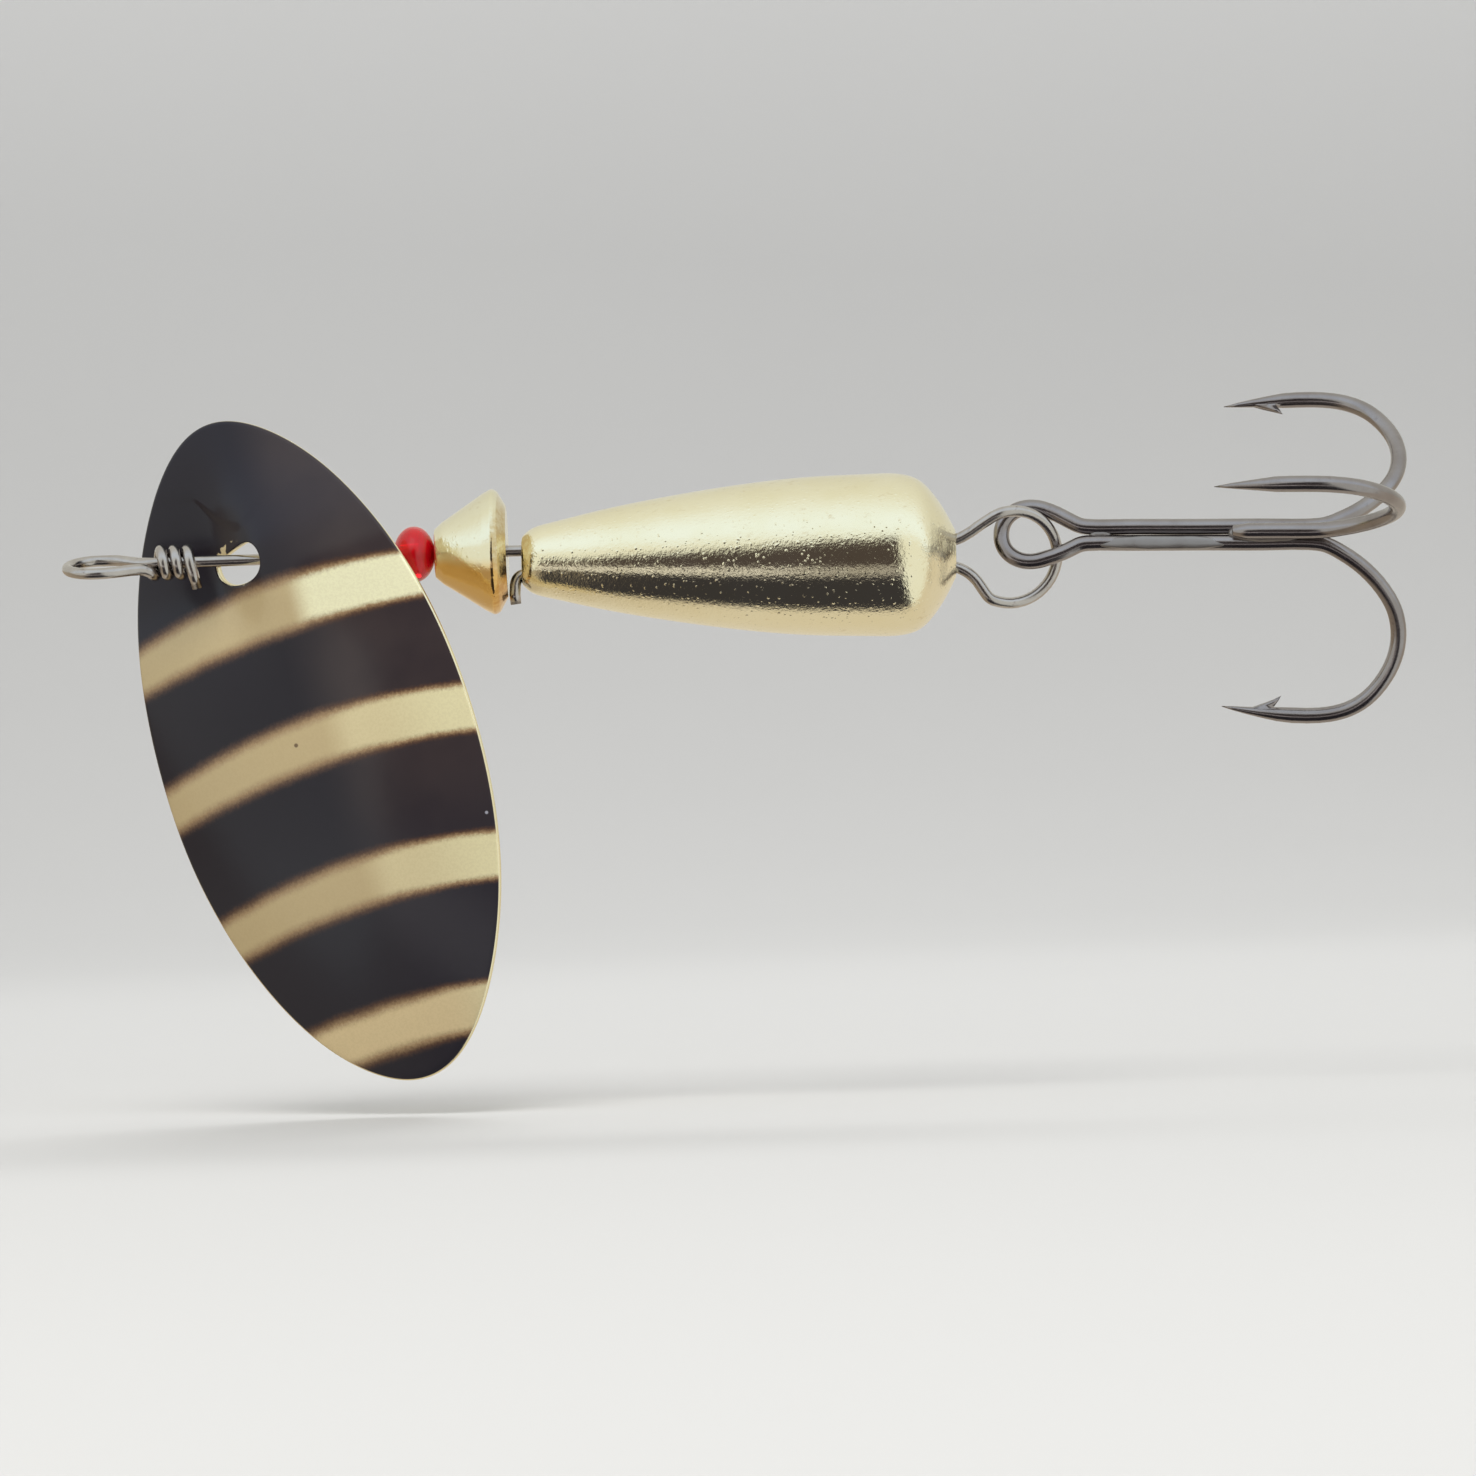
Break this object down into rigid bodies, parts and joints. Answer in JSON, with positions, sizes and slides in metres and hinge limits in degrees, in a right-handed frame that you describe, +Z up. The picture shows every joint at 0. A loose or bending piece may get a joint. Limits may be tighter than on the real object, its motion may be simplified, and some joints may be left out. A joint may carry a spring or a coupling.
{
  "type": "in-line spinner lure",
  "caption": "In-line spinner lure: banded teardrop blade threaded on a wire shaft with a bead, bell weight, tear-drop body and swinging treble hook.",
  "frame": {"origin": "centre of the line-tie eye at the front end of the shaft wire", "axes": "+X along the shaft wire from the line tie to the treble hook, +Z up with the blade hanging down, -Y towards the blade's outer face"},
  "size_m": [0.0845, 0.0207, 0.0417],
  "materials": {
    "wire": "bright spring wire",
    "blade": "black lacquer with soft-edged gold bands on brass",
    "bead": "glossy translucent red",
    "bell": "bright pale-gold plating",
    "body": "bright pale-gold plating with fine orange peel",
    "hook": "dark glossy nickel",
    "braze": "grey filler metal"
  },
  "bodies": {
    "frame": {"shaft_wire": "wire", "body_weight": "body"},
    "bell": {"bell_weight": "bell"},
    "carrier": {"bead": "bead"},
    "blade": {"blade": "blade"},
    "treble": {"double_hook": "hook", "single_hook": "hook", "hook_braze": "braze"}
  },
  "joints": [
    {"name": "blade_spin", "type": "hinge", "parent": "frame", "child": "carrier", "pos_m": [0.01978, 0, 0], "axis": [1, 0, 0], "continuous": true},
    {"name": "blade_swing", "type": "hinge", "parent": "carrier", "child": "blade", "pos_m": [0.00887, 0, -0.00017], "axis": [0, 1, 0], "range_deg": [-24, 18]},
    {"name": "bell_spin", "type": "hinge", "parent": "frame", "child": "bell", "pos_m": [0.0233, 0, 0], "axis": [1, 0, 0], "continuous": true},
    {"name": "hook_swing", "type": "hinge", "parent": "frame", "child": "treble", "pos_m": [0.05711, 0, -0.00142], "axis": [0.2351, -0.9431, -0.2351], "range_deg": [-70, 50]}
  ]
}
